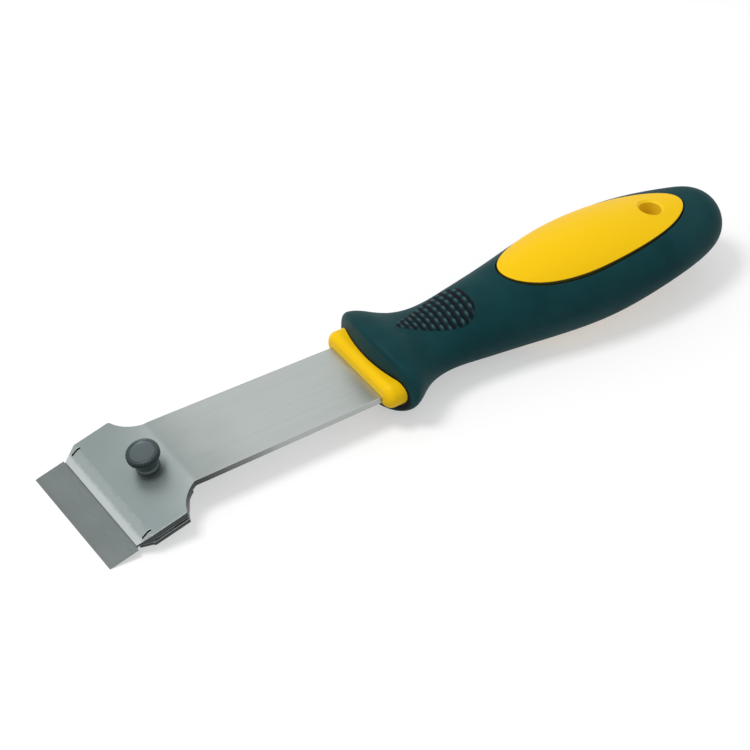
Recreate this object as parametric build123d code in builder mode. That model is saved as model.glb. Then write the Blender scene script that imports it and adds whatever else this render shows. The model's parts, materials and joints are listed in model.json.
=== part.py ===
from build123d import *
from math import cos, radians, sin
import os

# Razor blade scraper: a bent steel shank that clamps a single-edge razor blade under a bevelled lip,
# moulded into a two-material handle. Millimetres. X runs along the tool with the blade edge at +X,
# Z is up, and the origin is under the middle of the tool on the surface that it lies on.

# ---------------------------------------------------------------- driving dimensions
overall_length = 199.0

# single-edge razor blade
blade_width = 38.1
blade_depth = 19.05
blade_thickness = 0.23
ground_bevel = 0.9
edge_land = 0.03
notch_radius = 1.6
notch_setback = 10.0
spine_depth = 5.6
spine_thickness = 1.05

# head: the flat end of the shank and the lower jaw, tilted so that the edge meets the work
head_tilt = 15.0
head_margin = 0.65
lip_inset = 1.7
lip_setback = 8.6
lip_face_length = 4.1
lip_nose = 0.45
shoulder_behind_blade = 4.15
shoulder_length = 6.4
shoulder_sag = 1.1
corner_radius = 0.8
slit_length = 3.0
slit_width = 0.6
slit_inset = 1.9
slit_overlap = 2.1

# shank and tang
sheet_thickness = 1.8
bend_behind_blade = 10.95
bend_radius = 3.0
shank_width_front = 25.2
shank_width_back = 23.2
tang_wall = 0.7
tang_taper = 4.0
tang_end_radius = 3.0
tang_hole_radius = 2.6

# lower jaw
jaw_thickness = 1.2
jaw_edge_inset = 0.35
jaw_front_gap = 0.8
jaw_foot_length = 2.2
jaw_rear_gap = 1.6

# thumb screw and clinch nut
screw_behind_blade = 4.45
screw_radius = 2.0
screw_neck_collar = 0.9
screw_neck_height = 3.7
screw_head_rim = 2.4
screw_head_height = 2.3
screw_dish_inset = 1.2
screw_dish_depth = 0.35
screw_tail = 0.6
screw_chamfer = 0.4
knurl_count = 20
knurl_radius = 0.42
nut_wall = 0.8
nut_flange = 2.0

# handle
handle_front = 82.0
handle_width = 35.4
handle_height = 25.7
grip_wall = 1.6
core_edge_angle = 40.0
collar_setback = 1.8
collar_overhang = 2.4
collar_height = 7.4
collar_rise = 0.9
collar_rounding = 2.2
guard_setback = 4.4
guard_front_radius = 44.0
guard_rounding = 1.6
inlay_rise = 0.35
inlay_rounding = 0.3
hang_hole_radius = 3.1
hang_hole_chamfer = 0.6

# named clearances
blade_clearance = 0.02
spine_clearance = 0.06
pocket_margin = 0.5
shaft_clearance = 0.08
thread_clearance = 0.05
groove_width = 0.45
groove_depth = 1.2
trim_margin = 1.0

# places along the handle, as shares of its length behind its first section, and the inlay's
# width as a share of the handle's
tang_shoulder_share = 0.077
tang_end_share = 0.718
tang_hole_shares = (0.308, 0.547)
inlay_front_share = 0.396
inlay_widest_share = 0.614
inlay_rear_share = 0.897
inlay_width_share = 0.655
hang_hole_share = 0.812

# outer sections of the handle: place along it, half width, underside and top, as shares of
# the handle's length, half width and height
handle_sections = (
    (0.000, 0.949, 0.039, 0.786),
    (0.043, 0.989, 0.023, 0.821),
    (0.081, 1.000, 0.019, 0.833),
    (0.111, 0.870, 0.054, 0.790),
    (0.145, 0.723, 0.093, 0.743),
    (0.205, 0.616, 0.117, 0.720),
    (0.291, 0.621, 0.070, 0.794),
    (0.402, 0.701, 0.019, 0.895),
    (0.521, 0.842, 0.000, 0.977),
    (0.641, 0.927, 0.023, 1.000),
    (0.752, 0.915, 0.117, 0.969),
    (0.846, 0.825, 0.195, 0.918),
    (0.915, 0.689, 0.237, 0.883),
    (0.962, 0.520, 0.288, 0.848),
    (0.986, 0.345, 0.368, 0.768),
    (0.996, 0.196, 0.450, 0.690),
)
butt_share = 0.572
# the hard core starts behind the guard and ends before the butt
core_sections = handle_sections[2:-2]
# the neck is the narrowest place that the tang passes
neck_half_share = handle_sections[5][1]

# ---------------------------------------------------------------- derived frames and levels
edge_x = overall_length / 2
tilt = radians(head_tilt)

# head frame: local x runs back from the blade edge, local z is the normal of the head
edge_z = edge_land / 2 * cos(tilt)
head = Plane(
    origin=(edge_x, 0, edge_z),
    x_dir=(-cos(tilt), 0, sin(tilt)),
    z_dir=(sin(tilt), 0, cos(tilt)),
)
# side frame of the head: local x runs back from the edge, local y is the normal of the head
head_side = Plane(origin=head.origin, x_dir=head.x_dir, z_dir=(0, 1, 0))

blade_half = blade_thickness / 2
land_level = blade_half + blade_clearance
pocket_level = spine_thickness / 2 + spine_clearance
top_level = pocket_level + sheet_thickness
spine_front = blade_depth - spine_depth
pocket_front = spine_front - pocket_margin

head_width = blade_width + 2 * head_margin
lip_width = head_width - 2 * lip_inset
lip_back = lip_setback + lip_face_length
shoulder_start = blade_depth + shoulder_behind_blade
shoulder_end = shoulder_start + shoulder_length
screw_setback = blade_depth + screw_behind_blade

bend_setback = blade_depth + bend_behind_blade
bend_x = edge_x - bend_setback * cos(tilt) + top_level * sin(tilt)
shank_top = edge_z + bend_setback * sin(tilt) + top_level * cos(tilt)
shank_middle = shank_top - sheet_thickness / 2

handle_length = overall_length - handle_front
# taller than the whole handle, for cuts that pass right through it
reach = 2 * handle_height
# the core is a box inside the grip's oval: its edges lie a wall's thickness under the surface,
# in the direction that this angle gives
core_angle = radians(core_edge_angle)
neck_core_width = 2 * (neck_half_share * handle_width / 2 - grip_wall) * cos(core_angle)
tang_width = neck_core_width - 2 * tang_wall


def back(distance):
    """X of a point that lies this far behind the blade edge."""
    return edge_x - distance


def along(share):
    """X of a point at this share of the handle's length, from its first section to the butt."""
    return back(handle_front + share * handle_length)


def head_outline(inset, front, rear):
    """Outline of the head in the head frame, from its front edge to behind the shoulders."""
    half_head = head_width / 2 - inset
    half_lip = lip_width / 2 - inset
    half_shank = shank_width_front / 2 - inset
    with BuildLine() as outline:
        Line((front, 0), (front, half_lip))
        Line((front, half_lip), (lip_back, half_head))
        Line((lip_back, half_head), (shoulder_start, half_head))
        SagittaArc((shoulder_start, half_head), (shoulder_end, half_shank), -shoulder_sag)
        Line((shoulder_end, half_shank), (rear, half_shank))
        Line((rear, half_shank), (rear, 0))
        mirror(about=Plane.XZ)
    return outline.line


def handle_form(inset, sections, closed=False):
    """Body lofted through sections of the handle, inside its surface, to a point if closed."""
    profiles = []
    for place, half_width, underside, top in sections:
        middle = handle_height * (top + underside) / 2
        half_height = handle_height * (top - underside) / 2
        station = Plane(origin=(along(place), 0, middle), x_dir=(0, 1, 0), z_dir=(-1, 0, 0))
        with BuildSketch(station) as profile:
            Ellipse(half_width * handle_width / 2 - inset, half_height - inset)
        profiles.append(profile.sketch)
    if closed:
        profiles.append(Vertex(along(1), 0, butt_share * handle_height))
    with BuildPart() as form:
        loft(profiles)
    return form.part


def inlay_outline(margin):
    """Egg-shaped outline of the inlay: two half ellipses that share their widest line."""
    half = inlay_width_share * handle_width / 2 + margin
    centre = (along(inlay_widest_share), 0)
    front_reach = (inlay_widest_share - inlay_front_share) * handle_length + margin
    rear_reach = (inlay_rear_share - inlay_widest_share) * handle_length + margin
    with BuildLine() as outline:
        EllipticalCenterArc(centre, front_reach, half, start_angle=-90, arc_size=180)
        EllipticalCenterArc(centre, rear_reach, half, start_angle=90, arc_size=180)
    return outline.line


def is_head_corner(vertex):
    """Whether a vertex of the head's outline lies on the head's full width."""
    return abs(abs(vertex.Y) - head_width / 2) < 0.001


def is_hole_rim(edge):
    """Whether an edge is a closed rim of the hang hole, at either end of it."""
    box = edge.bounding_box()
    centre_off = abs(box.center().X - along(hang_hole_share)) + abs(box.center().Y)
    return centre_off < 0.01 and abs(box.size.Y - 2 * hang_hole_radius) < 0.01


# ---------------------------------------------------------------- razor blade
with BuildPart() as razor_blade:
    with BuildSketch(head_side):
        with BuildLine():
            Polyline(
                (0, -edge_land / 2),
                (ground_bevel, -blade_half),
                (blade_depth - blade_half - spine_clearance, -blade_half),
                (blade_depth - blade_half - spine_clearance, blade_half),
                (ground_bevel, blade_half),
                (0, edge_land / 2),
                close=True,
            )
        make_face()
    extrude(amount=blade_width / 2, both=True)
    with BuildSketch(head.offset(-spine_thickness)):
        with Locations((notch_setback, blade_width / 2), (notch_setback, -blade_width / 2)):
            Circle(notch_radius)
    extrude(amount=2 * spine_thickness, mode=Mode.SUBTRACT)
razor_blade.part.label = "razor_blade"

# ---------------------------------------------------------------- folded spine of the blade
with BuildPart() as blade_spine:
    with BuildSketch(head_side):
        half_spine = spine_thickness / 2
        with BuildLine():
            Line((spine_front, half_spine), (blade_depth - half_spine, half_spine))
            ThreePointArc(
                (blade_depth - half_spine, half_spine),
                (blade_depth, 0),
                (blade_depth - half_spine, -half_spine),
            )
            Line((blade_depth - half_spine, -half_spine), (spine_front, -half_spine))
            Line((spine_front, -half_spine), (spine_front, half_spine))
        make_face()
    extrude(amount=blade_width / 2, both=True)
    add(razor_blade.part, mode=Mode.SUBTRACT)
blade_spine.part.label = "blade_spine"

# ---------------------------------------------------------------- shank: lip, upper jaw, bend, tang
# plane of the bend, square to neither sheet but halfway between the two
mitre = Plane(origin=(bend_x, 0, shank_top), z_dir=(cos(tilt / 2), 0, -sin(tilt / 2)))
past_bend = 4.0
# seat of the screw on top of the head, with z along the screw
screw_seat = Plane(
    origin=head.from_local_coords((screw_setback, 0, top_level)),
    x_dir=head.x_dir,
    z_dir=head.z_dir,
)

with BuildPart() as strip:
    with BuildSketch(Plane.XY.offset(shank_top)) as strip_plan:
        with BuildLine():
            Polyline(
                (bend_x + past_bend, 0),
                (bend_x + past_bend, shank_width_front / 2),
                (bend_x - past_bend, shank_width_front / 2),
                (along(tang_shoulder_share), shank_width_back / 2),
                (along(tang_shoulder_share), tang_width / 2),
                (along(tang_end_share), (tang_width - tang_taper) / 2),
                (along(tang_end_share), 0),
            )
            mirror(about=Plane.XZ)
        make_face()
        fillet(strip_plan.vertices().group_by(Axis.X)[0], radius=tang_end_radius)
        with Locations(*[(along(share), 0) for share in tang_hole_shares]):
            Circle(tang_hole_radius, mode=Mode.SUBTRACT)
    extrude(amount=-sheet_thickness)
    split(bisect_by=mitre, keep=Keep.BOTTOM)

with BuildPart() as shank:
    with BuildSketch(head.offset(land_level)) as blank:
        with BuildLine():
            add(head_outline(0, lip_setback, bend_setback + past_bend))
        make_face()
        fillet(blank.vertices().filter_by(is_head_corner), radius=corner_radius)
    extrude(amount=top_level - land_level)
    # the underside steps up behind the lip, which leaves the pocket for the spine
    with BuildSketch(head_side):
        with BuildLine():
            Polyline(
                (pocket_front, land_level - sheet_thickness),
                (pocket_front, pocket_level),
                (bend_setback + 2 * past_bend, pocket_level),
                (bend_setback + 2 * past_bend, land_level - sheet_thickness),
                close=True,
            )
        make_face()
    extrude(amount=head_width, both=True, mode=Mode.SUBTRACT)
    # bevelled face of the lip
    with BuildSketch(head_side):
        with BuildLine():
            Polyline(
                (lip_setback, land_level + lip_nose),
                (lip_back, top_level),
                (lip_back, top_level + sheet_thickness),
                (lip_setback - lip_face_length, top_level + sheet_thickness),
                (lip_setback - lip_face_length, land_level + lip_nose),
                close=True,
            )
        make_face()
    extrude(amount=head_width, both=True, mode=Mode.SUBTRACT)
    # short slits that end the bevelled lip on each side
    with BuildSketch(head):
        slit_middle = lip_back + slit_length / 2 - slit_overlap
        slit_offset = head_width / 2 - slit_inset
        with Locations((slit_middle, slit_offset), (slit_middle, -slit_offset)):
            SlotOverall(slit_length, slit_width)
    extrude(amount=top_level + sheet_thickness, mode=Mode.SUBTRACT)
    split(bisect_by=mitre, keep=Keep.TOP)
    add(strip.part)
    bend_edges = shank.edges().filter_by(Axis.Y).sort_by_distance((bend_x, 0, shank_top))
    fillet(bend_edges[0], radius=bend_radius + sheet_thickness)
    inner_bend = (bend_x, 0, shank_top - sheet_thickness)
    fillet(shank.edges().filter_by(Axis.Y).sort_by_distance(inner_bend)[0], radius=bend_radius)
    with Locations(screw_seat):
        Hole(screw_radius + shaft_clearance)
shank.part.label = "shank"

# ---------------------------------------------------------------- lower jaw
jaw_front = lip_setback + jaw_front_gap
nut_collar_radius = screw_radius + nut_wall
jaw_rear = bend_setback - jaw_rear_gap
foot_front = jaw_rear - jaw_foot_length
joggle = 2 * pocket_level
jaw_top_line = (
    (jaw_front, -land_level),
    (pocket_front - pocket_level, -land_level),
    (pocket_front, -pocket_level),
    (foot_front - joggle, -pocket_level),
    (foot_front, pocket_level),
    (jaw_rear, pocket_level),
)
with BuildPart() as clamp_plate:
    with BuildSketch(head_side):
        with BuildLine():
            Polyline(
                *jaw_top_line,
                *[(setback, level - jaw_thickness) for setback, level in reversed(jaw_top_line)],
                close=True,
            )
        make_face()
    extrude(amount=head_width, both=True)
    with BuildSketch(head.offset(-spine_thickness - 2 * jaw_thickness)):
        with BuildLine():
            add(head_outline(jaw_edge_inset, jaw_front, jaw_rear))
        make_face()
    extrude(amount=2 * (spine_thickness + 2 * jaw_thickness), mode=Mode.INTERSECT)
    with Locations(screw_seat):
        Hole(nut_collar_radius)
clamp_plate.part.label = "clamp_plate"

# ---------------------------------------------------------------- clinch nut in the lower jaw
nut_flange_radius = screw_radius + nut_flange
with BuildPart() as clamp_nut:
    with BuildSketch(head.offset(-pocket_level)):
        with Locations((screw_setback, 0)):
            Circle(nut_collar_radius)
    extrude(amount=-jaw_thickness)
    with BuildSketch(head.offset(-pocket_level - jaw_thickness)):
        with Locations((screw_setback, 0)):
            Circle(nut_flange_radius)
    extrude(amount=-nut_flange)
    with Locations(screw_seat):
        Hole(screw_radius + thread_clearance)
clamp_nut.part.label = "clamp_nut"

# ---------------------------------------------------------------- thumb screw
screw_side = Plane(origin=screw_seat.origin, x_dir=screw_seat.x_dir, z_dir=(0, 1, 0))
tail_level = -(top_level + pocket_level + jaw_thickness + nut_flange + screw_tail)
head_top = screw_neck_height + screw_head_height
screw_neck_radius = screw_radius + screw_neck_collar
screw_head_radius = screw_radius + screw_head_rim
screw_dish_radius = screw_head_radius - screw_dish_inset
with BuildPart() as thumb_screw:
    with BuildSketch(screw_side):
        with BuildLine():
            Polyline(
                (0, tail_level),
                (screw_radius - screw_chamfer, tail_level),
                (screw_radius, tail_level + screw_chamfer),
                (screw_radius, 0),
                (screw_neck_radius, 0),
                (screw_neck_radius, screw_neck_height),
                (screw_head_radius - screw_chamfer, screw_neck_height),
                (screw_head_radius, screw_neck_height + screw_chamfer),
                (screw_head_radius, head_top - screw_chamfer),
                (screw_head_radius - screw_chamfer, head_top),
                (screw_dish_radius + screw_dish_depth, head_top),
                (screw_dish_radius, head_top - screw_dish_depth),
                (0, head_top - screw_dish_depth),
                close=True,
            )
        make_face()
    revolve(axis=Axis(screw_seat.origin, screw_seat.z_dir))
    # flutes of the coarse knurl round the head
    with BuildSketch(screw_seat.offset(screw_neck_height)):
        with PolarLocations(screw_head_radius + knurl_radius / 2, knurl_count):
            Circle(knurl_radius)
    extrude(amount=screw_head_height, mode=Mode.SUBTRACT)
thumb_screw.part.label = "thumb_screw"

# ---------------------------------------------------------------- hard core of the handle
proud_form = handle_form(-inlay_rise, core_sections)
groove_form = handle_form(groove_depth, core_sections)
skin_form = handle_form(0, handle_sections, closed=True)

core_side_line = []
core_top_line = []
core_bottom_line = []
for place, half_width, underside, top in core_sections:
    middle = handle_height * (top + underside) / 2
    core_half_width = (half_width * handle_width / 2 - grip_wall) * cos(core_angle)
    core_half_height = (handle_height * (top - underside) / 2 - grip_wall) * sin(core_angle)
    core_side_line.append((along(place), core_half_width))
    core_top_line.append((along(place), middle + core_half_height))
    core_bottom_line.append((along(place), middle - core_half_height))

with BuildPart() as core_form:
    with BuildSketch(Plane.XY):
        with BuildLine():
            side = Spline(*core_side_line)
            Line((core_side_line[0][0], 0), side @ 0)
            Line(side @ 1, (core_side_line[-1][0], 0))
            mirror(about=Plane.XZ)
        make_face()
    extrude(amount=reach)
    with BuildSketch(Plane.XZ):
        with BuildLine():
            upper = Spline(*core_top_line)
            lower = Spline(*core_bottom_line)
            Line(upper @ 0, lower @ 0)
            Line(upper @ 1, lower @ 1)
        make_face()
    extrude(amount=handle_width, both=True, mode=Mode.INTERSECT)

# the collar reaches from in front of the guard to the front of the core
collar_front = back(handle_front + collar_setback)
collar_section = Plane(
    origin=(collar_front, 0, shank_middle + collar_rise), x_dir=(0, 1, 0), z_dir=(-1, 0, 0)
)
with BuildPart() as collar:
    with BuildSketch(collar_section):
        SlotOverall(handle_width - 2 * collar_overhang, collar_height)
    extrude(amount=collar_front - core_side_line[0][0])
    fillet(collar.faces().sort_by(Axis.X)[-1].edges(), radius=collar_rounding)

with BuildPart() as top_inlay:
    with BuildSketch(Plane.XY.offset(shank_middle)):
        with BuildLine():
            add(inlay_outline(0))
        make_face()
    extrude(amount=reach)
    add(proud_form, mode=Mode.INTERSECT)
    fillet(top_inlay.faces().sort_by(Axis.Z)[-1].edges(), radius=inlay_rounding)

with BuildPart() as bottom_inlay:
    with BuildSketch(Plane.XY.offset(shank_middle)):
        with BuildLine():
            add(inlay_outline(0))
        make_face()
    extrude(amount=-reach)
    add(skin_form, mode=Mode.INTERSECT)

with BuildPart() as handle_core:
    add(core_form.part)
    add(collar.part)
    add(top_inlay.part)
    add(bottom_inlay.part)
    add(shank.part, mode=Mode.SUBTRACT)
    with BuildSketch(Plane.XY):
        with Locations((along(hang_hole_share), 0)):
            Circle(hang_hole_radius)
    extrude(amount=reach, mode=Mode.SUBTRACT)
    chamfer(handle_core.edges().filter_by(is_hole_rim), length=hang_hole_chamfer)
handle_core.part.label = "handle_core"

# ---------------------------------------------------------------- soft grip over the core
with BuildPart() as window:
    with BuildSketch(Plane.XY.offset(-reach)):
        with BuildLine():
            add(inlay_outline(0))
        make_face()
    extrude(amount=2 * reach)

with BuildPart() as groove:
    with BuildSketch(Plane.XY.offset(-reach)):
        with BuildLine():
            add(inlay_outline(groove_width))
        make_face()
    extrude(amount=2 * reach)
    add(groove_form, mode=Mode.SUBTRACT)

guard_front = back(handle_front + guard_setback)
guard_half = handle_width / 2 + trim_margin
guard_drop = guard_front_radius - (guard_front_radius**2 - guard_half**2) ** 0.5
with BuildPart() as grip:
    add(skin_form)
    # the guard's front is a convex arc across the tool
    with BuildSketch(Plane.XY):
        with BuildLine():
            arc = ThreePointArc(
                (guard_front - guard_drop, -guard_half),
                (guard_front, 0),
                (guard_front - guard_drop, guard_half),
            )
            Polyline(
                arc @ 1,
                (along(1) - handle_width, guard_half),
                (along(1) - handle_width, -guard_half),
                arc @ 0,
            )
        make_face()
    extrude(amount=reach, mode=Mode.INTERSECT)
    fillet(grip.faces().sort_by(Axis.X)[-1].edges(), radius=guard_rounding)
    add(core_form.part, mode=Mode.SUBTRACT)
    add(collar.part, mode=Mode.SUBTRACT)
    add(window.part, mode=Mode.SUBTRACT)
    add(groove.part, mode=Mode.SUBTRACT)
grip.part.label = "grip"

os.makedirs("parts", exist_ok=True)
for piece in (razor_blade, blade_spine, shank, clamp_plate, clamp_nut, thumb_screw, handle_core, grip):
    export_step(piece.part, f"parts/{piece.part.label}.step")
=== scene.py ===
import bpy
import json
import math
import numpy as np
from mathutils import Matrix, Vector


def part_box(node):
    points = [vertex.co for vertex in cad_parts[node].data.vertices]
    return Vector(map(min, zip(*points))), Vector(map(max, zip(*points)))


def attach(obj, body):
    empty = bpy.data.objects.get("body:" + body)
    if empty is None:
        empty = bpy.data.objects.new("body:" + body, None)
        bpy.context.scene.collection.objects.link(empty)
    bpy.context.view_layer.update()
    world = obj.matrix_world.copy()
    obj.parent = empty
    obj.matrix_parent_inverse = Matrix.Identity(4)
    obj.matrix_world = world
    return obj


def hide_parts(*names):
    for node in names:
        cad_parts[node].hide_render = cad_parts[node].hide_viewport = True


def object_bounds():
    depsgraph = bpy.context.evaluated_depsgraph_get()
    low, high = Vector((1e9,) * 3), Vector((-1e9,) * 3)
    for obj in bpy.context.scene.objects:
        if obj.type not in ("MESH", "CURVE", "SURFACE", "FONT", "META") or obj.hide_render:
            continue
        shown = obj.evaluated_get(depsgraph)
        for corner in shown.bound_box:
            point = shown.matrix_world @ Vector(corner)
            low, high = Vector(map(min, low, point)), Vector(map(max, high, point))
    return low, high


# Razor blade scraper: looks, light and camera. Metres, in the same frame as the solids.
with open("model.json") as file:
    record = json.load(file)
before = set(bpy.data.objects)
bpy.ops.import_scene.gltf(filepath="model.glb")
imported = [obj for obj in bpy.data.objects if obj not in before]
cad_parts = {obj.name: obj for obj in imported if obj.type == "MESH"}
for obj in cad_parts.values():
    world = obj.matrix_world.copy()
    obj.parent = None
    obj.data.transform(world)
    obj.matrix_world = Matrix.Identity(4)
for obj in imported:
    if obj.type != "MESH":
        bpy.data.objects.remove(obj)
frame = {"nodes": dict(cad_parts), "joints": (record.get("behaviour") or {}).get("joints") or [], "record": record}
cad_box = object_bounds()
nodes = frame["nodes"]
joints = {joint["name"]: joint for joint in frame["joints"]}
scene = bpy.context.scene
MM = 0.001
blade_edge = cad_box[1].x


# ---------------------------------------------------------------- camera
def place_camera(target, azimuth, elevation, distance, lens):
    """Camera on a sphere round the target: azimuth 0 looks along +Y, elevation is above the floor."""
    turn = math.radians(azimuth)
    rise = math.radians(elevation)
    back = Vector((math.sin(turn) * math.cos(rise), -math.cos(turn) * math.cos(rise), math.sin(rise)))
    lens_data = bpy.data.cameras.new("studio_camera")
    lens_data.lens = lens
    lens_data.sensor_width = 36.0
    camera = bpy.data.objects.new("studio_camera", lens_data)
    camera.location = Vector(target) + back * distance
    camera.rotation_mode = "QUATERNION"
    camera.rotation_quaternion = (-back).to_track_quat("-Z", "Y")
    scene.collection.objects.link(camera)
    scene.camera = camera


place_camera(
    target=(0.01029, 0.00013, 0.00662), azimuth=146.80, elevation=40.66, distance=0.750, lens=139.58
)


# ---------------------------------------------------------------- node helpers
# A Mix node's colour sockets by number: its sockets for numbers and vectors have the same names.
MIX_FIRST, MIX_SECOND, MIX_RESULT = 6, 7, 2


def feed(tree, socket, value):
    """Gives a socket another node's output, a number, a vector, or a colour as three numbers."""
    if isinstance(value, bpy.types.NodeSocket):
        tree.links.new(value, socket)
    elif socket.type == "RGBA":
        socket.default_value = (*value, 1.0)
    else:
        socket.default_value = value


def maths(tree, operation, *operands):
    """A maths node's result; each operand is a number or a socket."""
    made = tree.nodes.new("ShaderNodeMath")
    made.operation = operation
    for socket, value in zip(made.inputs, operands):
        feed(tree, socket, value)
    return made.outputs[0]


def vector_maths(tree, operation, *operands):
    """A vector maths node's result: a number for a length or a dot product, or else a vector."""
    made = tree.nodes.new("ShaderNodeVectorMath")
    made.operation = operation
    for socket, value in zip(made.inputs, operands):
        feed(tree, socket, value)
    return made.outputs["Value" if operation in ("LENGTH", "DOT_PRODUCT") else "Vector"]


def axes(tree, vector):
    """A vector's parts, as sockets named X, Y and Z."""
    split = tree.nodes.new("ShaderNodeSeparateXYZ")
    tree.links.new(vector, split.inputs[0])
    return split.outputs


def from_z_axis(tree, vector):
    """Distance of a point from the z axis: the length of its x and y."""
    return vector_maths(tree, "LENGTH", vector_maths(tree, "MULTIPLY", vector, (1.0, 1.0, 0.0)))


def ramp(tree, value, start, end):
    """Smooth step of a value from 0 at start to 1 at end, whichever of the two is the higher."""
    made = tree.nodes.new("ShaderNodeMapRange")
    made.interpolation_type = "SMOOTHSTEP"
    feed(tree, made.inputs["From Min"], start)
    feed(tree, made.inputs["From Max"], end)
    feed(tree, made.inputs["Value"], value)
    return made.outputs["Result"]


def mixed(tree, factor, first, second):
    """Colour mix by a factor; each colour is a socket or three numbers."""
    made = tree.nodes.new("ShaderNodeMix")
    made.data_type = "RGBA"
    feed(tree, made.inputs["Factor"], factor)
    feed(tree, made.inputs[MIX_FIRST], first)
    feed(tree, made.inputs[MIX_SECOND], second)
    return made.outputs[MIX_RESULT]


def noise(tree, vector, scale, detail, roughness):
    """Fractal noise of a vector, in features per metre."""
    made = tree.nodes.new("ShaderNodeTexNoise")
    made.inputs["Scale"].default_value = scale
    made.inputs["Detail"].default_value = detail
    made.inputs["Roughness"].default_value = roughness
    feed(tree, made.inputs["Vector"], vector)
    return made.outputs["Fac"]


# ---------------------------------------------------------------- shared effects
def blank_group(name, inputs, outputs):
    """An empty shader node group with named inputs (name, socket type, value) and outputs."""
    group = bpy.data.node_groups.new(name, "ShaderNodeTree")
    for label, socket, value in inputs:
        made = group.interface.new_socket(name=label, in_out="INPUT", socket_type=socket)
        if value is not None:
            made.default_value = value
    for label, socket in outputs:
        group.interface.new_socket(name=label, in_out="OUTPUT", socket_type=socket)
    given = group.nodes.new("NodeGroupInput").outputs
    out = group.nodes.new("NodeGroupOutput").inputs
    return group, given, out


def make_brushed_lines():
    """Grain of brushed or ground metal: noise drawn out along one axis by the Stretch vector."""
    group, given, out = blank_group(
        "brushed_lines",
        [("Vector", "NodeSocketVector", None), ("Stretch", "NodeSocketVector", (1, 1, 1))],
        [("Lines", "NodeSocketFloat"), ("Streaks", "NodeSocketFloat")],
    )
    drawn = vector_maths(group, "MULTIPLY", given["Vector"], given["Stretch"])
    feed(group, out["Lines"], noise(group, drawn, 1.0, 4.0, 0.7))
    feed(group, out["Streaks"], noise(group, drawn, 0.16, 2.0, 0.5))
    return group


def make_handling_marks():
    """Signs of use: broad smudges, fine specks of dust and thin scratches in many directions."""
    group, given, out = blank_group(
        "handling_marks",
        [("Vector", "NodeSocketVector", None)],
        [("Smudge", "NodeSocketFloat"), ("Dust", "NodeSocketFloat"), ("Scratch", "NodeSocketFloat")],
    )
    smudges = noise(group, given["Vector"], 45.0, 4.0, 0.6)
    specks = noise(group, given["Vector"], 1900.0, 2.0, 0.6)
    patches = noise(group, given["Vector"], 210.0, 2.0, 0.5)
    bent = group.nodes.new("ShaderNodeTexWave")
    bent.wave_type = "BANDS"
    bent.bands_direction = "DIAGONAL"
    bent.inputs["Scale"].default_value = 160.0
    bent.inputs["Distortion"].default_value = 9.0
    bent.inputs["Detail"].default_value = 3.0
    bent.inputs["Detail Scale"].default_value = 0.6
    feed(group, bent.inputs["Vector"], given["Vector"])
    line = ramp(group, bent.outputs["Fac"], 0.985, 1.0)
    feed(group, out["Smudge"], ramp(group, smudges, 0.35, 0.75))
    feed(group, out["Dust"], ramp(group, specks, 0.66, 0.80))
    feed(group, out["Scratch"], maths(group, "MULTIPLY", line, ramp(group, patches, 0.52, 0.62)))
    return group


def make_edge_rub():
    """Mask of outer edges: 1 where the normal averaged over a small radius leaves the surface's own."""
    group, given, out = blank_group(
        "edge_rub",
        [("Start", "NodeSocketFloat", 0.02), ("Full", "NodeSocketFloat", 0.25)],
        [("Mask", "NodeSocketFloat"), ("Normal", "NodeSocketVector")],
    )
    soft = group.nodes.new("ShaderNodeBevel")
    soft.samples = 4
    soft.inputs["Radius"].default_value = 0.35 * MM
    surface = group.nodes.new("ShaderNodeNewGeometry")
    agreement = vector_maths(group, "DOT_PRODUCT", soft.outputs["Normal"], surface.outputs["Normal"])
    leaving = maths(group, "SUBTRACT", 1.0, agreement)
    feed(group, out["Mask"], ramp(group, leaving, given["Start"], given["Full"]))
    feed(group, out["Normal"], soft.outputs["Normal"])
    return group


def make_sheared_edge():
    """Mask of a sheet's cut sides: 1 where the surface stands upright, 0 on its broad faces."""
    group, given, out = blank_group(
        "sheared_edge",
        [("Steep", "NodeSocketFloat", 0.35), ("Flat", "NodeSocketFloat", 0.65)],
        [("Mask", "NodeSocketFloat")],
    )
    surface = group.nodes.new("ShaderNodeNewGeometry")
    level = maths(group, "ABSOLUTE", axes(group, surface.outputs["True Normal"])["Z"])
    feed(group, out["Mask"], ramp(group, level, given["Flat"], given["Steep"]))
    return group


def make_moulded_skin():
    """Surface of a moulding: fine spark-eroded texture over a broad, barely visible unevenness."""
    group, given, out = blank_group(
        "moulded_skin",
        [("Vector", "NodeSocketVector", None), ("Texture", "NodeSocketFloat", 0.5)],
        [("Height", "NodeSocketFloat"), ("Mottle", "NodeSocketFloat")],
    )
    fine = noise(group, given["Vector"], 2600.0, 2.0, 0.6)
    broad = noise(group, given["Vector"], 140.0, 2.0, 0.5)
    feed(group, out["Height"], maths(group, "MULTIPLY_ADD", fine, given["Texture"], broad))
    feed(group, out["Mottle"], broad)
    return group


brushed_lines = make_brushed_lines()
handling_marks = make_handling_marks()
edge_rub = make_edge_rub()
sheared_edge = make_sheared_edge()
moulded_skin = make_moulded_skin()


# ---------------------------------------------------------------- material helpers
def start_material(name):
    """A material, its tree, its Principled shader's inputs, and the object's own coordinates."""
    material = bpy.data.materials.new(name)
    material.use_nodes = True
    tree = material.node_tree
    shader = next(n for n in tree.nodes if n.type == "BSDF_PRINCIPLED")
    place = tree.nodes.new("ShaderNodeTexCoord")
    return material, tree, shader.inputs, place.outputs["Object"]


def placed(tree, group, **inputs):
    """The outputs of a shared group placed in this tree, with its inputs given by name."""
    made = tree.nodes.new("ShaderNodeGroup")
    made.node_tree = group
    for name, value in inputs.items():
        feed(tree, made.inputs[name], value)
    return made.outputs


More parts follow.
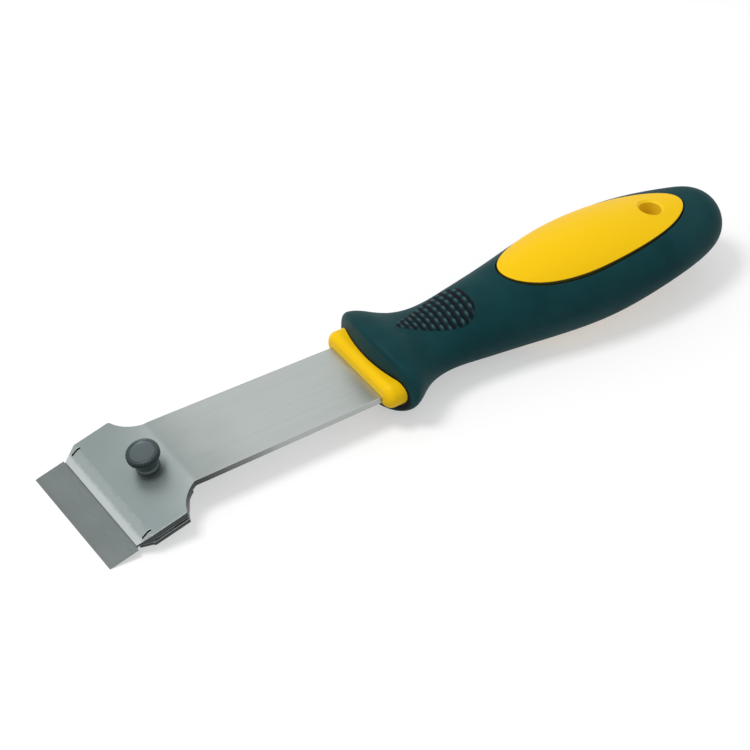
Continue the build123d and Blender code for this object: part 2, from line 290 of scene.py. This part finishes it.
def add_bump(tree, shader, height, distance, strength, normal=None):
    """Bump from a height of 0 to 1 over this distance, in metres."""
    bump = tree.nodes.new("ShaderNodeBump")
    bump.inputs["Distance"].default_value = distance
    bump.inputs["Strength"].default_value = strength
    feed(tree, bump.inputs["Height"], height)
    if normal is not None:
        feed(tree, bump.inputs["Normal"], normal)
    feed(tree, shader["Normal"], bump.outputs["Normal"])


# ---------------------------------------------------------------- steel finishes
rubbed_steel = (0.66, 0.68, 0.68)
# painted shade: this near-black colour on upright cut sides stands in for the shade and dark reflections on them
cut_side_shade = (0.050, 0.056, 0.056)


def steel(name, light, dark, stretch, roughness, cut_side=cut_side_shade, recolour=None):
    """Satin steel: brushed lines tint the broad faces and vary the roughness, cut sides are painted
    the cut_side colour, by default a near-black painted shade, and edges are rubbed bright. A
    recolour function is given the tree, the coordinates and the faces' colour, and returns the
    colours of the faces and of the cut sides."""
    material, tree, shader, where = start_material(name)
    grain = placed(tree, brushed_lines, Vector=where, Stretch=stretch)
    marks = placed(tree, handling_marks, Vector=where)
    rub = placed(tree, edge_rub, Start=0.03, Full=0.30)
    cut = placed(tree, sheared_edge)
    streaked = maths(tree, "MULTIPLY", grain["Streaks"], 0.5)
    streaked = maths(tree, "MULTIPLY_ADD", grain["Lines"], 0.5, streaked)
    face = mixed(tree, ramp(tree, streaked, 0.25, 0.75), dark, light)
    if recolour is not None:
        face, cut_side = recolour(tree, where, face)
    # painted shade: upright cut sides take the cut_side colour
    body = mixed(tree, cut["Mask"], face, cut_side)
    rubbed = mixed(tree, maths(tree, "MULTIPLY", rub["Mask"], 0.7), body, rubbed_steel)
    spread = maths(tree, "MULTIPLY_ADD", grain["Lines"], 0.14, roughness - 0.07)
    smudged = maths(tree, "MULTIPLY_ADD", marks["Smudge"], 0.06, spread)
    dusty = maths(tree, "MULTIPLY_ADD", marks["Dust"], 0.10, smudged)
    feed(tree, shader["Base Color"], rubbed)
    feed(tree, shader["Roughness"], dusty)
    shader["Metallic"].default_value = 1.0
    height = maths(tree, "MULTIPLY_ADD", marks["Scratch"], -0.5, grain["Lines"])
    add_bump(tree, shader, height, 0.008 * MM, 0.5, rub["Normal"])
    return material


def strip_colours(tree, where, face):
    """The strip is painted darker over the head, a painted shade for the light its tilted face
    reflects less of. Its lip carries a painted highlight, bright just behind the front edge and
    fainter in a band behind that. Its cut sides carry a near-black painted shade at the head and
    are paler towards the handle."""
    lip_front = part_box("shank")[1].x
    x = axes(tree, where)["X"]
    washed = maths(tree, "MULTIPLY_ADD", noise(tree, where, 60.0, 2.0, 0.5), 14 * MM, x)
    ragged = maths(tree, "MULTIPLY_ADD", noise(tree, where, 700.0, 2.0, 0.5), 0.8 * MM, x)
    head = ramp(tree, washed, blade_edge - 41.5 * MM, blade_edge - 9.5 * MM)
    # painted shade: the head's darker colour
    shaded_head = mixed(tree, head, face, (0.228, 0.270, 0.266))
    # painted highlight: a bright band along the lip
    bright = ramp(tree, ragged, lip_front - 2.1 * MM, lip_front - 0.6 * MM)
    faint = ramp(tree, ragged, lip_front - 3.6 * MM, lip_front - 2.6 * MM)
    highlight_mask = maths(tree, "MAXIMUM", bright, maths(tree, "MULTIPLY", faint, 0.35))
    highlighted = mixed(tree, highlight_mask, shaded_head, (0.475, 0.522, 0.512))
    # painted shade: near-black cut sides near the head
    near_head = ramp(tree, washed, blade_edge - 53.5 * MM, blade_edge - 21.5 * MM)
    sides = mixed(tree, near_head, (0.40, 0.42, 0.41), cut_side_shade)
    return highlighted, sides


def make_blade_finish():
    """Blade steel: dark hardened flat, grained across the edge, with a bevel ground along it."""
    material, tree, shader, where = start_material("hardened_blade_steel")
    grain = placed(tree, brushed_lines, Vector=where, Stretch=(5200, 300, 5200))
    ground = placed(tree, brushed_lines, Vector=where, Stretch=(150, 9000, 150))
    marks = placed(tree, handling_marks, Vector=where)
    bevel = ramp(tree, axes(tree, where)["X"], blade_edge - 1.15 * MM, blade_edge - 0.95 * MM)
    shade = ramp(tree, grain["Lines"], 0.25, 0.75)
    flat = mixed(tree, shade, (0.152, 0.175, 0.172), (0.171, 0.197, 0.193))
    whetted = mixed(tree, ground["Lines"], (0.115, 0.128, 0.126), (0.195, 0.215, 0.211))
    spread = maths(tree, "MULTIPLY_ADD", grain["Lines"], 0.12, 0.26)
    feed(tree, shader["Base Color"], mixed(tree, bevel, flat, whetted))
    feed(tree, shader["Roughness"], maths(tree, "MULTIPLY_ADD", marks["Smudge"], 0.10, spread))
    shader["Metallic"].default_value = 1.0
    height = maths(tree, "MULTIPLY_ADD", marks["Scratch"], -0.5, grain["Lines"])
    add_bump(tree, shader, height, 0.008 * MM, 0.5)
    return material


def make_screw_finish():
    """Black oxide on steel, with painted light: the head's face inside its dark rim and the neck are
    painted a lighter grey where light falls on them, and the knurl's crests are worn to bare metal.
    Rings from turning follow the screw's own line."""
    material, tree, shader, where = start_material("black_oxide")
    turn = joints["screw_turn"]
    own = tree.nodes.new("ShaderNodeMapping")
    own.vector_type = "TEXTURE"
    own.inputs["Location"].default_value = tuple(turn["pos_m"])
    own.inputs["Rotation"].default_value = (0.0, math.atan2(turn["axis"][0], turn["axis"][2]), 0.0)
    feed(tree, own.inputs["Vector"], where)
    radius = from_z_axis(tree, own.outputs[0])
    height = axes(tree, own.outputs[0])["Z"]
    marks = placed(tree, handling_marks, Vector=where)
    rub = placed(tree, edge_rub, Start=0.05, Full=0.45)
    rings = tree.nodes.new("ShaderNodeCombineXYZ")
    feed(tree, rings.inputs["X"], radius)
    feed(tree, rings.inputs["Y"], height)
    turned = noise(tree, rings.outputs[0], 5200.0, 3.0, 0.6)
    black = mixed(tree, marks["Smudge"], (0.026, 0.040, 0.040), (0.050, 0.068, 0.070))
    # painted light: a lighter grey on the head's face and on the neck
    painted_light_grey = mixed(tree, turned, (0.060, 0.080, 0.083), (0.088, 0.113, 0.117))
    ragged = maths(tree, "MULTIPLY_ADD", noise(tree, where, 900.0, 2.0, 0.5), 0.7 * MM, radius)
    inside_rim = ramp(tree, ragged, 3.95 * MM, 3.45 * MM)
    on_top = ramp(tree, height, 4.6 * MM, 5.2 * MM)
    neck = maths(tree, "MULTIPLY", ramp(tree, height, 3.8 * MM, 1.2 * MM), 0.75)
    painted_light_mask = maths(tree, "MAXIMUM", maths(tree, "MULTIPLY", inside_rim, on_top), neck)
    body = mixed(tree, painted_light_mask, black, painted_light_grey)
    worn = maths(tree, "MULTIPLY", rub["Mask"], ramp(tree, turned, 0.45, 0.95))
    feed(tree, shader["Base Color"], mixed(tree, worn, body, (0.24, 0.26, 0.26)))
    feed(tree, shader["Metallic"], maths(tree, "MULTIPLY_ADD", worn, 0.4, 0.6))
    feed(tree, shader["Roughness"], maths(tree, "MULTIPLY_ADD", turned, 0.16, 0.32))
    add_bump(tree, shader, turned, 0.012 * MM, 0.6, rub["Normal"])
    return material


# ---------------------------------------------------------------- moulded finishes
def make_core_finish():
    """Semi-gloss yellow plastic: faint flow marks and dust in fine specks, with edges painted paler
    as a painted highlight. Behind the neck, the steep sides of the groove round the inlays carry a
    painted shade, and the hang hole's wall is painted a brighter yellow as painted light."""
    material, tree, shader, where = start_material("yellow_moulding")
    skin = placed(tree, moulded_skin, Vector=where, Texture=0.10)
    marks = placed(tree, handling_marks, Vector=where)
    flow = placed(tree, brushed_lines, Vector=where, Stretch=(70, 420, 420))
    rub = placed(tree, edge_rub, Start=0.02, Full=0.22)
    steep = placed(tree, sheared_edge, Steep=0.30, Flat=0.72)
    shade = ramp(tree, flow["Streaks"], 0.25, 0.75)
    body = mixed(tree, shade, (0.93, 0.560, 0.003), (0.97, 0.605, 0.004))
    behind_neck = ramp(tree, axes(tree, where)["X"], blade_edge - 112 * MM, blade_edge - 116 * MM)
    # painted shade: dark on the steep sides of the groove round the inlays
    painted_shade = maths(tree, "MULTIPLY", steep["Mask"], behind_neck)
    body = mixed(tree, painted_shade, body, (0.055, 0.050, 0.010))
    hole = frame["record"]["mounts"][0]
    wall = hole["dims"]["r_mm"] * MM
    from_hole = from_z_axis(tree, vector_maths(tree, "SUBTRACT", where, tuple(hole["pos_m"])))
    on_wall = ramp(tree, from_hole, wall + 0.5 * MM, wall + 0.05 * MM)
    # painted light: the hole's wall is painted brighter than the light inside it gives
    body = mixed(tree, on_wall, body, (1.0, 0.70, 0.025))
    # painted highlight: edges painted a paler yellow
    body = mixed(tree, maths(tree, "MULTIPLY", rub["Mask"], 0.55), body, (0.95, 0.72, 0.10))
    body = mixed(tree, maths(tree, "MULTIPLY", marks["Dust"], 0.20), body, (0.93, 0.70, 0.20))
    spread = maths(tree, "MULTIPLY_ADD", marks["Smudge"], 0.10, 0.34)
    feed(tree, shader["Base Color"], body)
    feed(tree, shader["Roughness"], maths(tree, "MULTIPLY_ADD", marks["Scratch"], 0.20, spread))
    shader["Specular IOR Level"].default_value = 0.10
    add_bump(tree, shader, skin["Height"], 0.05 * MM, 0.30)
    return material


def beside_collar(tree, where):
    """Distance out from a round-ended outline: the length from its middle line, along y inside its
    ends and round them outside, less its radius. The outline is the collar's own with its lower
    side 1.6 mm further down, where the painted shade reaches further."""
    half_line, level, radius = 10.8 * MM, 9.28 * MM, 4.5 * MM
    parts = axes(tree, where)
    past = maths(tree, "SUBTRACT", maths(tree, "ABSOLUTE", parts["Y"]), half_line)
    past = maths(tree, "MAXIMUM", past, 0.0)
    rise = maths(tree, "SUBTRACT", parts["Z"], level)
    squared = maths(tree, "MULTIPLY_ADD", past, past, maths(tree, "MULTIPLY", rise, rise))
    return maths(tree, "SUBTRACT", maths(tree, "SQRT", squared), radius)


def ridge_light_and_shade(tree, where, body):
    """Painted highlight on the crests and painted shade between them, by how high the ridges stand."""
    lift = tree.nodes.new("ShaderNodeAttribute")
    lift.attribute_name = "ridge"
    body = mixed(tree, ramp(tree, lift.outputs["Fac"], 0.16, 0.56), (0.0004, 0.003, 0.006), body)
    return mixed(tree, ramp(tree, lift.outputs["Fac"], 0.50, 0.95), body, (0.050, 0.095, 0.105))


def guard_shade(tree, where, body):
    """Painted shade: dark in the corner between the guard's front and the collar."""
    near_collar = ramp(tree, beside_collar(tree, where), 1.5 * MM, 0.5 * MM)
    on_front = ramp(tree, axes(tree, where)["X"], blade_edge - 93.5 * MM, blade_edge - 91.5 * MM)
    painted_shade = maths(tree, "MULTIPLY", near_collar, on_front)
    return mixed(tree, painted_shade, body, (0.0006, 0.004, 0.006))


def make_grip_finish(name, depth, paint_light_and_shade):
    """Soft-touch rubber: matt, dark teal green, with a fine eroded texture and pale dust in it. The
    paint_light_and_shade function lays the painted light and shade of its place over the rubber's
    colour."""
    material, tree, shader, where = start_material(name)
    skin = placed(tree, moulded_skin, Vector=where, Texture=0.5)
    marks = placed(tree, handling_marks, Vector=where)
    shade = ramp(tree, skin["Mottle"], 0.30, 0.70)
    body = mixed(tree, shade, (0.0010, 0.032, 0.037), (0.0022, 0.040, 0.046))
    body = mixed(tree, marks["Smudge"], body, (0.005, 0.047, 0.053))
    # painted light and shade of this place over the rubber
    body = paint_light_and_shade(tree, where, body)
    body = mixed(tree, maths(tree, "MULTIPLY", marks["Dust"], 0.10), body, (0.08, 0.13, 0.13))
    feed(tree, shader["Base Color"], body)
    feed(tree, shader["Roughness"], maths(tree, "MULTIPLY_ADD", marks["Smudge"], -0.08, 0.60))
    shader["Specular IOR Level"].default_value = 0.10
    add_bump(tree, shader, skin["Height"], depth, 0.6)
    return material


# ---------------------------------------------------------------- finishes on the solids
screw_finish = make_screw_finish()
pad_finish = make_grip_finish("ridged_green_rubber", 0.03 * MM, ridge_light_and_shade)
finishes = {
    "razor_blade": make_blade_finish(),
    "blade_spine": steel(
        "folded_spine_steel", light=(0.40, 0.42, 0.42), dark=(0.33, 0.35, 0.35),
        stretch=(4200, 80, 4200), roughness=0.32,
    ),
    "shank": steel(
        "satin_strip_steel", light=(0.455, 0.490, 0.475), dark=(0.425, 0.458, 0.442),
        stretch=(60, 5200, 5200), roughness=0.36, recolour=strip_colours,
    ),
    "clamp_plate": steel(
        "pressed_jaw_steel", light=(0.40, 0.44, 0.44), dark=(0.36, 0.40, 0.40),
        stretch=(2600, 300, 2600), roughness=0.36,
    ),
    "clamp_nut": steel(
        "zinc_plate", light=(0.53, 0.54, 0.52), dark=(0.46, 0.47, 0.46),
        stretch=(900, 900, 900), roughness=0.34, cut_side=(0.40, 0.41, 0.40),
    ),
    "thumb_screw": screw_finish,
    "handle_core": make_core_finish(),
    "grip": make_grip_finish("soft_green_rubber", 0.05 * MM, guard_shade),
}
for node, finish in finishes.items():
    materials = nodes[node].data.materials
    if not materials:
        materials.append(finish)
    for slot in range(len(materials)):
        materials[slot] = finish


# ---------------------------------------------------------------- meshes from grids
def grid_mesh(name, points, wrap=False, caps=False):
    """Mesh of a grid of points, rows by columns; wrap joins the last column to the first, and caps
    close the first and the last row, each with a fan to its middle."""
    rows, columns = points.shape[:2]
    number = np.arange(rows * columns).reshape(rows, columns)
    left = number if wrap else number[:, :-1]
    right = np.roll(number, -1, axis=1) if wrap else number[:, 1:]
    faces = np.stack([left[:-1], right[:-1], right[1:], left[1:]], axis=-1).reshape(-1, 4).tolist()
    vertices = points.reshape(-1, 3)
    if caps:
        for row, around in ((0, -1), (rows - 1, 1)):
            ring = number[row][::around]
            hub = np.full(columns, len(vertices))
            faces += np.stack([ring, np.roll(ring, -1), hub], axis=-1).tolist()
            vertices = np.concatenate([vertices, points[row].mean(axis=0, keepdims=True)])
    mesh = bpy.data.meshes.new(name)
    mesh.from_pydata(vertices.tolist(), [], faces)
    mesh.update()
    return mesh


def add_piece(name, mesh, material, body, crease):
    """A finished piece of the object: smooth but for edges over the crease angle, in degrees."""
    mesh.materials.append(material)
    mesh.shade_smooth()
    mesh.set_sharp_from_angle(angle=math.radians(crease))
    piece = bpy.data.objects.new(name, mesh)
    scene.collection.objects.link(piece)
    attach(piece, body)
    return piece


# ---------------------------------------------------------------- thumb pad on the neck
def fitted_top(node, x_range, half_width):
    """Height of a solid's top as a polynomial in x and in y squared, by least squares through the
    middles of its upward triangles there; returns a function of x and y."""
    surface = nodes[node].data.polygons
    middles, normals = np.empty(len(surface) * 3), np.empty(len(surface) * 3)
    surface.foreach_get("center", middles)
    surface.foreach_get("normal", normals)
    x, y, z = middles.reshape(-1, 3).T
    lowest, least_upward = 12 * MM, 0.3
    middle = sum(x_range) / 2
    reach = (x_range[1] - x_range[0]) / 2 + 2 * MM
    near = (abs(x - middle) < reach) & (abs(y) < half_width + 1 * MM)
    near &= (z > lowest) & (normals.reshape(-1, 3)[:, 2] > least_upward)

    def terms(x, y):
        """Every product of a power of x, up to 6, and a power of y squared, up to 4."""
        along = (x - middle) / reach
        across = (y / half_width) ** 2
        return np.stack([along**i * across**j for i in range(7) for j in range(5)], axis=-1)

    weights = np.linalg.lstsq(terms(x[near], y[near]), z[near], rcond=None)[0]
    return lambda x, y: terms(x, y) @ weights


def thumb_pad(front, rear, half_width, pitch, height):
    """Chequered drop on the neck. Its outline widens from a point at the front as a power of the
    way along and rounds off at the rear. On it the skin's own surface is raised by a comb of
    ridges across the neck, a cosine of x, each broken by a cosine of y into bars that step half a
    bar from ridge to ridge. The lift fades to nothing at the outline, a hair under the skin."""
    skin = fitted_top("grip", (rear, front), half_width + 0.6 * MM)
    proud, sunk = 0.10 * MM, 0.06 * MM
    length = front - rear
    t, s = np.meshgrid(np.linspace(0.004, 1.0, 330), np.linspace(-1.0, 1.0, 200), indexing="ij")
    swell = half_width * t**0.75
    x = front - t * length
    y = s * 1.36 * swell * np.sqrt(1 - t**6)
    from_outline = np.minimum(1.1 * swell * (1 - abs(s)), (1 - t) * length)
    inside = np.clip(from_outline / (0.45 * pitch), 0, 1)
    inside = inside**2 * (3 - 2 * inside)
    row = np.round((x - rear) / pitch)
    comb = 0.5 + 0.5 * np.cos(2 * np.pi * (x - rear) / pitch)
    bars = 0.5 + 0.5 * np.cos(2 * np.pi * (y / (1.3 * pitch) + 0.5 * (row % 2)))
    bump = comb**1.1 * (0.38 + 0.62 * bars) * inside
    z = skin(x, y) + height * bump + proud * inside - sunk * (1 - inside)
    mesh = grid_mesh("thumb_pad", np.stack([x, y, z], axis=-1)[:, ::-1])
    ridge = mesh.attributes.new("ridge", "FLOAT", "POINT")
    ridge.data.foreach_set("value", (bump + 0.5 * (1 - inside))[:, ::-1].ravel().astype(np.float32))
    return mesh


pad_mesh = thumb_pad(
    front=blade_edge - 95.0 * MM, rear=blade_edge - 118.0 * MM, half_width=7.6 * MM, pitch=1.9 * MM,
    height=0.50 * MM,
)
add_piece("thumb_pad", pad_mesh, pad_finish, "scraper", crease=180.0)


# ---------------------------------------------------------------- thumb screw
def along_screw(radius, height, angle):
    """Points at a radius, height and angle on the screw's own line, from its seat outwards."""
    turn = joints["screw_turn"]
    line = np.array(turn["axis"])
    across = np.array([line[2], 0.0, -line[0]])
    side = np.array([0.0, 1.0, 0.0])
    radius, height, angle = (part[..., None] for part in np.broadcast_arrays(radius, height, angle))
    on_line = np.array(turn["pos_m"]) + height * line
    return on_line + radius * (np.cos(angle) * across + np.sin(angle) * side)


def rounded(profile, radius, steps=5):
    """A profile's corners, each cut back by the radius and turned by a parabola through both cuts."""
    profile = np.array(profile, float)
    before, corner, after = profile[:-2], profile[1:-1], profile[2:]
    arm_in, arm_out = before - corner, after - corner
    long_in = np.linalg.norm(arm_in, axis=1, keepdims=True)
    long_out = np.linalg.norm(arm_out, axis=1, keepdims=True)
    cut = np.minimum(radius, 0.45 * np.minimum(long_in, long_out))
    first, last = corner + arm_in / long_in * cut, corner + arm_out / long_out * cut
    t = np.linspace(0, 1, steps)[None, :, None]
    turned = (1 - t) ** 2 * first[:, None] + 2 * t * (1 - t) * corner[:, None] + t**2 * last[:, None]
    return np.concatenate([profile[:1], turned.reshape(-1, 2), profile[-1:]])


def screw_head_profile():
    """The screw above its seat, as radius and height in millimetres: a chamfered foot, a neck that
    flares under the head, the head's chamfered rim, and the shallow dish in its top."""
    foot, neck, head, dish = 3.15, 2.72, 4.38, 3.22
    foot_top, head_bottom, head_top, dish_floor = 0.55, 3.7, 5.98, 5.62
    outline = [
        (2.0, 0.0), (foot, 0.0), (foot, foot_top), (neck, foot_top + 0.40),
        (neck, head_bottom - 0.80), (neck + 0.38, head_bottom - 0.02),
        (head - 0.43, head_bottom + 0.02), (head, head_bottom + 0.40),
        (head, head_top - 0.43), (head - 0.40, head_top),
        (dish + 0.28, head_top), (dish, dish_floor + 0.04), (1.4, dish_floor), (0.05, dish_floor),
    ]
    return rounded(outline, 0.30)


def finger_screw(teeth, pitch, tail):
    """One turned piece. Below the seat, a right-handed thread: the radius follows a flat-topped
    triangle wave of height over pitch less angle over a turn. Above it, the head's profile, whose
    rim is notched by a cosine of the angle times the number of teeth."""
    crest, thread_depth, point_depth = 1.99 * MM, 0.36 * MM, 0.42 * MM
    knurl_from, knurl_depth = 3.9 * MM, 0.26 * MM
    angle = np.linspace(0, 2 * np.pi, teeth * 6, endpoint=False)[None, :]
    height = np.linspace(tail, 0.0, 88)[:, None]
    wave = abs(2 * ((height / pitch - angle / (2 * np.pi)) % 1.0) - 1)
    groove = 1 - np.clip((wave - 0.14) / 0.74, 0, 1)
    under_seat = np.clip(-height / (0.4 * MM), 0, 1)
    at_point = 1 - np.clip((height - tail) / (0.5 * MM), 0, 1)
    shaft = crest - thread_depth * groove * under_seat - point_depth * at_point
    radius, level = (screw_head_profile() * MM).T[:, :, None]
    rim = np.clip((radius - knurl_from) / (0.4 * MM), 0, 1)
    notch = (0.5 - 0.5 * np.cos(teeth * angle)) ** 1.5
    head = along_screw(radius - knurl_depth * rim * notch, level, angle)
    points = np.concatenate([along_screw(shaft, height, angle), head])
    return grid_mesh("finger_screw", points, wrap=True, caps=True)


screw_line = joints["screw_turn"]
tail_at = (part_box("thumb_screw")[0].z - screw_line["pos_m"][2]) / screw_line["axis"][2] + 0.35 * MM
screw_mesh = finger_screw(teeth=34, pitch=0.7 * MM, tail=tail_at)
screw_piece = add_piece("finger_screw", screw_mesh, screw_finish, "screw", crease=60.0)
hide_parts("thumb_screw")


# ---------------------------------------------------------------- studio
def seen_directly(tree):
    """1 for a ray from the camera, straight or by way of a mirror or glass, or else 0."""
    path = tree.nodes.new("ShaderNodeLightPath").outputs
    seen = maths(tree, "MAXIMUM", path["Is Camera Ray"], path["Is Glossy Ray"])
    return maths(tree, "MAXIMUM", seen, path["Is Transmission Ray"])


def make_paper():
    """White paper: matt, lifted to white for the camera, and clear from below."""
    material = bpy.data.materials.new("white_paper")
    material.use_nodes = True
    tree = material.node_tree
    tree.nodes.clear()
    matt = tree.nodes.new("ShaderNodeBsdfDiffuse")
    matt.inputs["Color"].default_value = (0.58, 0.58, 0.58, 1)
    glow = tree.nodes.new("ShaderNodeEmission")
    feed(tree, glow.inputs["Strength"], maths(tree, "MULTIPLY", seen_directly(tree), 0.46))
    lifted = tree.nodes.new("ShaderNodeAddShader")
    feed(tree, lifted.inputs[0], matt.outputs[0])
    feed(tree, lifted.inputs[1], glow.outputs[0])
    clear = tree.nodes.new("ShaderNodeBsdfTransparent")
    side = tree.nodes.new("ShaderNodeNewGeometry")
    choice = tree.nodes.new("ShaderNodeMixShader")
    feed(tree, choice.inputs[0], side.outputs["Backfacing"])
    feed(tree, choice.inputs[1], lifted.outputs[0])
    feed(tree, choice.inputs[2], clear.outputs[0])
    out = tree.nodes.new("ShaderNodeOutputMaterial")
    feed(tree, out.inputs["Surface"], choice.outputs[0])
    return material


def make_floor(half_side):
    """A square of paper just under the object."""
    low = cad_box[0].z - 0.1 * MM
    square = [(x * half_side, y * half_side, low) for x, y in ((-1, -1), (1, -1), (1, 1), (-1, 1))]
    mesh = bpy.data.meshes.new("floor")
    mesh.from_pydata(square, [], [(0, 1, 2, 3)])
    mesh.materials.append(make_paper())
    floor = bpy.data.objects.new("floor", mesh)
    scene.collection.objects.link(floor)


def make_world(level):
    """Even white surroundings: plain for the light that falls on things, white where seen."""
    world = bpy.data.worlds.new("studio_world")
    scene.world = world
    world.use_nodes = True
    tree = world.node_tree
    back = next(n for n in tree.nodes if n.type == "BACKGROUND")
    back.inputs["Color"].default_value = (1, 1, 1, 1)
    strength = maths(tree, "MULTIPLY_ADD", seen_directly(tree), 1.0 - level, level)
    feed(tree, back.inputs["Strength"], strength)


def soft_lamp(name, place, aim, size, power):
    """A square soft lamp at a place, turned to its aim."""
    data = bpy.data.lights.new(name, "AREA")
    data.shape = "SQUARE"
    data.size = size
    data.energy = power
    lamp = bpy.data.objects.new(name, data)
    lamp.location = place
    lamp.rotation_mode = "QUATERNION"
    lamp.rotation_quaternion = (Vector(aim) - Vector(place)).to_track_quat("-Z", "Y")
    scene.collection.objects.link(lamp)


make_floor(half_side=4.0)
make_world(level=0.56)
soft_lamp("key_lamp", place=(0.42, -0.14, 1.0), aim=(0, 0, 0), size=0.36, power=6.0)

scene.view_settings.view_transform = "Standard"
